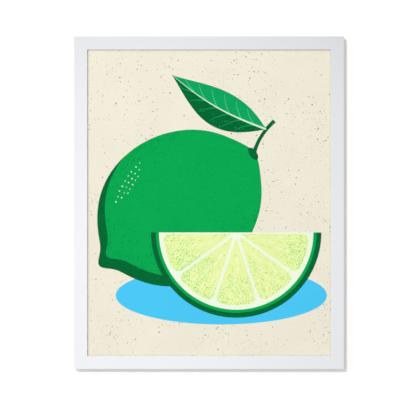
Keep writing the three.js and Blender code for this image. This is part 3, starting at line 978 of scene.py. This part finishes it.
def metal(name, colour, low, high, tarnish, grain=520):
    """Plated or plain metal: soft clouding, fine roughness changes and a few hairline scratches."""
    s = Shader(name)
    cloudy = s.noise(190, 2.0, 0.5)
    fine = s.noise(grain, 3.0, 0.6)
    hair = s.noise(1500, 2.0, 0.5, stretch=(1.0, 0.4, 0.12), turn=(0.2, 0.7, 0.3))
    c = s.mix(s.spread(cloudy, 0.35, 0.7), colour, shade(colour, tarnish))
    c = s.mix(s.spread(hair, 0.68, 0.76, 0.0, 0.35), c, shade(colour, 0.72))
    rough = s.math("ADD", s.spread(fine, 0.3, 0.7, low, high), s.spread(hair, 0.6, 0.8, 0.0, 0.1))
    s.set(color=c, metal=1.0, rough=rough, normal=s.bump(hair, 0.06, 0.00003))
    return s.mat


zinc = metal("zinc_plate", srgb(210, 213, 217), 0.24, 0.36, 0.90)
steel = metal("plain_steel", srgb(176, 178, 182), 0.28, 0.42, 0.86)
brass = metal("brass_plate", srgb(226, 190, 112), 0.24, 0.36, 0.88)


def soft_rubber():
    s = Shader("bumper_rubber")
    f = s.noise(800, 2.0, 0.5)
    broad = s.noise(150, 2.0, 0.5)
    c = s.mix(s.spread(broad, 0.35, 0.65), srgb(208, 209, 205), srgb(196, 197, 192))
    c = s.mix(s.spread(f, 0.62, 0.75, 0.0, 0.3), c, srgb(150, 148, 142))
    s.set(color=c, rough=s.spread(f, 0.3, 0.7, 0.46, 0.6), normal=s.bump(f, 0.12, 0.00006))
    return s.mat


rubber = soft_rubber()

# ---- turn buttons: stamped plates with rounded edges
EYE_R, TIP_R, REACH, HOLE_R, BUTTON_T = 5.5, 4.3, 18.0, 2.2, 1.2
BACK_MM = back_y / MM


def button_bmesh():
    lean = math.asin((EYE_R - TIP_R) / REACH)
    outline = arc(0, 0, EYE_R, -lean, math.pi + lean, 40) + arc(0, -REACH, TIP_R, math.pi + lean, 2 * math.pi - lean, 32)
    hole = arc(0, 0, HOLE_R, 0, 2 * math.pi * 31 / 32, 31)
    return plate_mesh("button", spaced(outline, 1.6), [hole], BUTTON_T, 0.28, 4)


def screw_bmesh(spin):
    """A pan-head screw: head to +Y with a cross recess, tapered point, and a helical thread below the head."""
    n = 48
    bm = bmesh.new()
    rings = []
    tip, seat, top = -10.5, 1.6, 3.3
    pitch, core, crest = 1.5, 1.18, 1.75
    y = tip
    tip_vertex = bm.verts.new((0, tip, 0))
    levels = 84
    thread_top = -0.9
    for k in range(1, levels + 1):
        y = tip + (thread_top - tip) * k / levels
        taper = min(1.0, 0.05 + (y - tip) / 3.4)
        run_out = min(1.0, (thread_top - y) / 1.2 + 0.0)
        ring = []
        for i in range(n):
            a = 2 * math.pi * i / n
            phase = (y / pitch - i / n) % 1.0
            ridge = max(0.0, 1 - abs(phase - 0.5) / 0.34)
            r = (core + (crest - core) * ridge * max(0.0, run_out)) * taper
            ring.append(bm.verts.new((r * math.cos(a), y, r * math.sin(a))))
        rings.append(ring)
    for r, y in ((1.30, -0.55), (1.70, -0.25), (1.75, 0.0), (1.75, seat - 0.15), (1.9, seat), (2.6, seat), (3.25, seat), (3.45, seat + 0.06), (3.58, seat + 0.22), (3.6, seat + 0.45), (3.58, seat + 0.7)):
        rings.append([bm.verts.new((r * math.cos(2 * math.pi * i / n), y, r * math.sin(2 * math.pi * i / n))) for i in range(n)])
    for i in range(n):
        bm.faces.new((tip_vertex, rings[0][(i + 1) % n], rings[0][i]))
    for lo, hi in zip(rings, rings[1:]):
        for i in range(n):
            j = (i + 1) % n
            bm.faces.new((lo[i], lo[j], hi[j], hi[i]))
    rim = rings[-1]

    def dome(r):
        """Height of the head's top at a radius: nearly flat in the middle, rolled over at the edge."""
        t = min(1.0, r / 3.58)
        return seat + 0.7 + (top - seat - 0.7) * (1 - t ** 3.2) ** 0.62

    # cross recess, four arms
    arm, half = 1.85, 0.42
    cross = []
    for q in range(4):
        a = q * math.pi / 2
        for x, z in ((half, half), (arm * 0.8, half * 0.95), (arm, half * 0.55), (arm, -half * 0.55), (arm * 0.8, -half * 0.95)):
            cross.append((a, x, z))
    cross_pts = []
    for q in range(4):
        a = -q * math.pi / 2 + spin
        group = [(x, z) for aa, x, z in cross[:5]]
        cross_pts += turned(group[1:] + [(half, -half)], a)
    coords = [Vector((v.co.x, v.co.z)) for v in rim]
    made = list(rim)
    edges = [(i, (i + 1) % n) for i in range(n)]
    first = len(coords)
    mouth = [bm.verts.new((x, dome(math.hypot(x, z)), z)) for x, z in cross_pts]
    coords += [Vector((x, z)) for x, z in cross_pts]
    made += mouth
    edges += [(first + i, first + (i + 1) % len(mouth)) for i in range(len(mouth))]
    for k, r in enumerate((3.52, 3.4, 3.2, 2.95, 2.65, 2.3)):
        for i in range(n):
            a = 2 * math.pi * (i + 0.5 * (k % 2)) / n
            x, z = r * math.cos(a), r * math.sin(a)
            coords.append(Vector((x, z)))
            made.append(bm.verts.new((x, dome(r), z)))
    for k, r in enumerate((1.95, 1.55, 1.2, 0.9)):
        for i in range(28):
            a = 2 * math.pi * (i + 0.5 * (k % 2)) / 28
            x, z = r * math.cos(a), r * math.sin(a)
            if not inside(cross_pts, x, z) and edge_distance(cross_pts, x, z) > 0.12:
                coords.append(Vector((x, z)))
                made.append(bm.verts.new((x, dome(r), z)))
    cv, _, cf, ov, _, _ = delaunay_2d_cdt(coords, edges, [], 1, 1e-7, True)
    link = [made[ids[0]] for ids in ov]
    for tri in cf:
        cx = sum(cv[i].x for i in tri) / 3
        cz = sum(cv[i].y for i in tri) / 3
        if not inside(cross_pts, cx, cz):
            bm.faces.new([link[i] for i in tri])
    floor_ring = [bm.verts.new((x * 0.62, top - 1.05, z * 0.62)) for x, z in cross_pts]
    bottom = bm.verts.new((0, top - 1.45, 0))
    m = len(mouth)
    for i in range(m):
        j = (i + 1) % m
        bm.faces.new((mouth[i], mouth[j], floor_ring[j], floor_ring[i]))
        bm.faces.new((floor_ring[i], floor_ring[j], bottom))
    bmesh.ops.recalc_face_normals(bm, faces=bm.faces)
    return bm


button_names = [n[len("turn_button_"):] for n in NODES if n.startswith("turn_button_")]
pivots = {}
for j in frame["joints"]:
    pivots[j["child"][len("button_"):]] = Vector(j["pos_m"]) if "pos_m" in j else None
side_turn = {"top": 0.0, "bottom": math.pi, "left": -math.pi / 2, "right": math.pi / 2}
for k, n in enumerate(sorted(button_names)):
    p = pivots[n]
    turn = side_turn[n.split("_")[0]]
    piece(button_bmesh(), "button_plate_" + n, (p.x, back_y + 0.2 * MM, p.z), turn, zinc, "button_" + n, "turn_button_" + n)
    piece(screw_bmesh(0.35 + 1.9 * k), "pan_screw_" + n, (p.x, back_y, p.z), turn, steel, "frame", "button_screw_" + n, 40.0)

# ---- hanger: a stamped strip with a raised, notched middle
hang_low, hang_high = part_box("sawtooth_hanger")
HANG_Z = (hang_low.z + hang_high.z) / 2
HL, HH, HT, HR = 45.0, 11.0, 0.8, 2.2
NOTCHES, NOTCH_PITCH, NOTCH_DEEP = 7, 3.2, 2.25


def hanger_path():
    """Centre line of the strip in XY with rounded bends, as fine points from left to right."""
    corners = [(-HL / 2, HT / 2), (-15.2, HT / 2), (-12.6, HR + HT / 2), (12.6, HR + HT / 2), (15.2, HT / 2), (HL / 2, HT / 2)]
    out = [Vector(corners[0])]
    for i in range(1, len(corners) - 1):
        p = Vector(corners[i])
        a = (Vector(corners[i - 1]) - p).normalized()
        b = (Vector(corners[i + 1]) - p).normalized()
        half = math.acos(max(-1, min(1, a.dot(b)))) / 2
        back = 1.1 / math.tan(half)
        start, end = p + a * back, p + b * back
        centre = p + (a + b).normalized() * (1.1 / math.sin(half))
        for q in range(9):
            v = (start - centre).lerp(end - centre, q / 8)
            out.append(centre + v.normalized() * 1.1)
    out.append(Vector(corners[-1]))
    return out


def hanger_bmesh():
    notch_half = NOTCH_PITCH / 2 - 0.25
    r = HH / 2
    low = []
    for i in range(NOTCHES):
        x = (i - (NOTCHES - 1) / 2) * NOTCH_PITCH
        low += [(x - notch_half, -r), (x - 0.22, -r + NOTCH_DEEP - 0.32), (x, -r + NOTCH_DEEP - 0.14), (x + 0.22, -r + NOTCH_DEEP - 0.32), (x + notch_half, -r)]
    outline = low + arc(HL / 2 - r, 0, r, -math.pi / 2, math.pi / 2, 22) + arc(-HL / 2 + r, 0, r, math.pi / 2, 1.5 * math.pi, 22)
    outline = spaced(outline, 0.5)
    holes = [arc(sx * 18.6, 0, 1.2, 0, 2 * math.pi * 23 / 24, 23) for sx in (-1, 1)]
    fill = [(x * 0.55, z * 1.3) for x in range(-40, 41) for z in (-3, -2, -1, 0, 1, 2, 3)]
    bm = plate_mesh("hanger", outline, holes, HT, 0.16, 3, fill)
    path = hanger_path()

    def at(x):
        for p, q in zip(path, path[1:]):
            if x <= q.x + 1e-9:
                t = 0 if q.x - p.x < 1e-9 else max(0.0, (x - p.x) / (q.x - p.x))
                return p.lerp(q, t), (q - p).normalized()
        return path[-1], Vector((1, 0))

    for v in bm.verts:
        c0, t0 = at(v.co.x - 0.12)
        c1, t1 = at(v.co.x + 0.12)
        c, _ = at(v.co.x)
        t = (t0 + t1).normalized()
        off = v.co.y - HT / 2
        v.co.x, v.co.y = c.x - t.y * off, c.y + t.x * off
    bmesh.ops.recalc_face_normals(bm, faces=bm.faces)
    return bm


piece(hanger_bmesh(), "hanger_strip", (0, back_y, HANG_Z), 0.0, brass, "frame", "sawtooth_hanger", 40.0)
for side, sx in (("left", -1), ("right", 1)):
    dome_pts = [(2.1 * math.cos(t), 1.0 + 0.3 + 0.7 * math.sin(t)) for t in (math.pi / 2 * i / 9 for i in range(9))]
    nail = [(0, -7.5), (0.28, -6.9), (0.55, -6.3), (0.8, -5.6), (0.8, -3.0), (0.8, 0.9), (0.92, 1.0), (1.5, 1.0), (2.0, 1.0), (2.08, 1.06), (2.1, 1.16)] + dome_pts + [(0, 2.0)]
    piece(lathe_mesh(nail, 36), "hanger_pin_" + side, (sx * 18.6 * MM, back_y, HANG_Z), 0.0, brass, "frame", "hanger_nail_" + side)

# ---- corner nails: folded steel with sheared edges
for n, ob in NODES.items():
    if n.startswith("corner_nail"):
        lo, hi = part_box(n)
        sx = -1 if "left" in n else 1
        sz = -1 if "bottom" in n else 1
        # the corner stands at the outer end of both legs
        cx = (lo.x + 0.0004) if sx < 0 else (hi.x - 0.0004)
        cz = (lo.z + 0.0004) if sz < 0 else (hi.z - 0.0004)
        turn = {(-1, -1): 0.0, (-1, 1): math.pi / 2, (1, 1): math.pi, (1, -1): -math.pi / 2}[(sx, sz)]
        t = 0.4
        ell = [(-t, 0.3), (-t, 8.0), (t, 8.0), (t, 0.62), (0.47, 0.47), (0.62, t), (8.0, t), (8.0, -t), (0.3, -t), (0.0, -t + 0.03), (-0.25, -0.25), (-t + 0.03, 0.0)]
        bm = plate_mesh("nail", spaced(ell, 1.2), [], 9.0, 0.1, 3)
        piece(bm, n.replace("corner_nail", "v_nail"), (cx, lo.y, cz), turn, steel, "frame", n, 40.0)

# ---- rubber bumpers
for side in ("left", "right"):
    lo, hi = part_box("wall_bumper_" + side)
    edge = arc(5.0 - 1.2, 4.0 - 1.2, 1.2, 0, math.pi / 2, 10)
    foot = [(0, 0), (4.6, 0), (4.85, 0.06), (5.0, 0.25)]
    pad = foot + edge + [(2.6, 4.0), (0, 4.0)]
    piece(lathe_mesh(pad, 56), "bumper_pad_" + side, ((lo.x + hi.x) / 2, back_y, (lo.z + hi.z) / 2), 0.0, rubber, "frame", "wall_bumper_" + side)

# ---- filler: three flat liners with a fluted sheet between each pair
fill_low, fill_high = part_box("filler_board")


def filler_mesh():
    bm = bmesh.new()
    x0, x1 = fill_low.x, fill_high.x
    z0, z1 = fill_low.z, fill_high.z
    y0 = fill_low.y
    total = fill_high.y - y0
    paper = 0.00022

    def sheet(front, back):
        """Front and back are matching lists of (x, y)."""
        loop = front + back[::-1]
        n = len(loop)
        a = [bm.verts.new((x, y, z0)) for x, y in loop]
        b = [bm.verts.new((x, y, z1)) for x, y in loop]
        for i in range(n):
            j = (i + 1) % n
            bm.faces.new((a[i], a[j], b[j], b[i]))
        m = len(front)
        for i in range(m - 1):
            for ring in (a, b):
                bm.faces.new((ring[i], ring[i + 1], ring[n - 2 - i], ring[n - 1 - i]))

    split = total * 0.58
    for y in (0.0, split - paper / 2, total - paper):
        sheet([(x0, y0 + y), (x1, y0 + y)], [(x0, y0 + y + paper), (x1, y0 + y + paper)])
    gap = 0.00001
    for low_y, high_y, pitch in ((paper, split - paper / 2, 0.0079), (split + paper / 2, total - paper, 0.0064)):
        mid = y0 + (low_y + high_y) / 2
        amp = (high_y - low_y) / 2 - paper * 0.62 - gap
        n = int((x1 - x0) / pitch * 12)
        front, back = [], []
        for i in range(n + 1):
            x = x0 + (x1 - x0) * i / n
            ph = 2 * math.pi * (x - x0) / pitch
            y = mid + amp * math.sin(ph)
            slope = amp * 2 * math.pi / pitch * math.cos(ph)
            k = paper / 2 / math.hypot(1, slope)
            nx, ny = -slope * k, k
            if i in (0, n):
                nx = 0.0
            front.append((x - nx, y - ny))
            back.append((x + nx, y + ny))
        sheet(front, back)
    bmesh.ops.recalc_face_normals(bm, faces=bm.faces)
    crease(bm, 35.0)
    me = bpy.data.meshes.new("fluted_filler")
    bm.to_mesh(me)
    bm.free()
    ob = link_to_scene("fluted_filler", me)
    give(ob, kraft())
    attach(ob, "frame")
    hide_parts("filler_board")


filler_mesh()


# ------------------------------------------------------------------ wall, floor and light

def quad(name, corners, material):
    me = bpy.data.meshes.new(name)
    me.from_pydata(corners, [], [list(range(len(corners)))])
    ob = link_to_scene(name, me)
    give(ob, material)
    return ob


wall_mat = Shader("wall_white")
wall_mat.set(color=(0.80, 0.80, 0.80, 1), rough=0.9, spec=0.1)
wall_mat.bsdf.inputs["Emission Color"].default_value = (1.0, 1.0, 1.0, 1)
wall_mat.bsdf.inputs["Emission Strength"].default_value = 0.262
clear = wall_mat.node("ShaderNodeBsdfTransparent")
pick = wall_mat.node("ShaderNodeMixShader")
wall_mat.put(pick.inputs[0], wall_mat.node("ShaderNodeNewGeometry").outputs["Backfacing"])
wall_mat.put(pick.inputs[1], wall_mat.bsdf.outputs["BSDF"])
wall_mat.put(pick.inputs[2], clear.outputs["BSDF"])
wall_mat.put(wall_mat.out.inputs["Surface"], pick.outputs[0])
wall_y = cad_high[1] + 0.0002
FLOOR_Z = bottom_z - 0.75
wall = quad("wall", [(-4, wall_y, FLOOR_Z), (4, wall_y, FLOOR_Z), (4, wall_y, 4), (-4, wall_y, 4)], wall_mat.mat)
for flag in ("visible_diffuse", "visible_glossy", "visible_transmission", "visible_shadow", "visible_volume_scatter"):
    setattr(wall, flag, False)

floor_mat = Shader("floor_pale")
floor_mat.set(color=(0.86, 0.86, 0.86, 1), rough=0.8, spec=0.2)
floor_mat.bsdf.inputs["Emission Color"].default_value = (1, 1, 1, 1)
floor_mat.bsdf.inputs["Emission Strength"].default_value = 0.5
floor = quad("floor", [(-40, -40, FLOOR_Z), (40, -40, FLOOR_Z), (40, 40, FLOOR_Z), (-40, 40, FLOOR_Z)], floor_mat.mat)
floor.visible_diffuse = False
floor.visible_glossy = False

world = bpy.data.worlds.new("studio")
bpy.context.scene.world = world
world.use_nodes = True
wt = world.node_tree
bg = wt.nodes["Background"]
bg.inputs["Color"].default_value = (1, 1, 1, 1)
direction = wt.nodes.new("ShaderNodeTexCoord").outputs["Generated"]
split = wt.nodes.new("ShaderNodeSeparateXYZ")
wt.links.new(direction, split.inputs[0])
# the studio is darker straight in front of the picture, so the glazing has nothing to mirror there
spot = wt.nodes.new("ShaderNodeMapRange")
spot.interpolation_type = "SMOOTHSTEP"
spot.inputs["From Min"].default_value = -0.975
spot.inputs["From Max"].default_value = -0.90
spot.inputs["To Min"].default_value = 0.0
spot.inputs["To Max"].default_value = AMBIENT = 0.535
wt.links.new(split.outputs[1], spot.inputs["Value"])
seen = wt.nodes.new("ShaderNodeMix")
seen.data_type = "FLOAT"
wt.links.new(wt.nodes.new("ShaderNodeLightPath").outputs["Is Camera Ray"], seen.inputs["Factor"])
wt.links.new(spot.outputs["Result"], seen.inputs[2])
seen.inputs[3].default_value = 0.96
wt.links.new(seen.outputs[0], bg.inputs["Strength"])


def area_light(name, at, aim, size, power, mirrored=True):
    d = bpy.data.lights.new(name, "AREA")
    d.shape = "DISK"
    d.size = size
    d.energy = power
    o = bpy.data.objects.new(name, d)
    bpy.context.scene.collection.objects.link(o)
    o.location = at
    o.rotation_euler = (Vector(aim) - Vector(at)).to_track_quat("-Z", "Y").to_euler()
    o.visible_glossy = mirrored
    return o


middle = (0, front_y, mid_z)
key = area_light("key", (-2.6, -8.4, mid_z + 2.8), middle, 1.1, 468, mirrored=False)
fill = area_light("fill", (-2.4, -2.2, mid_z + 0.2), middle, 1.0, 15, mirrored=False)
rear = area_light("rear", (1.2, 3.0, mid_z + 1.2), (0, 0, mid_z), 1.5, 60)
# this light is for the back alone: nothing it strikes there lights the wall in its turn
rear.data.cycles.max_bounces = 0
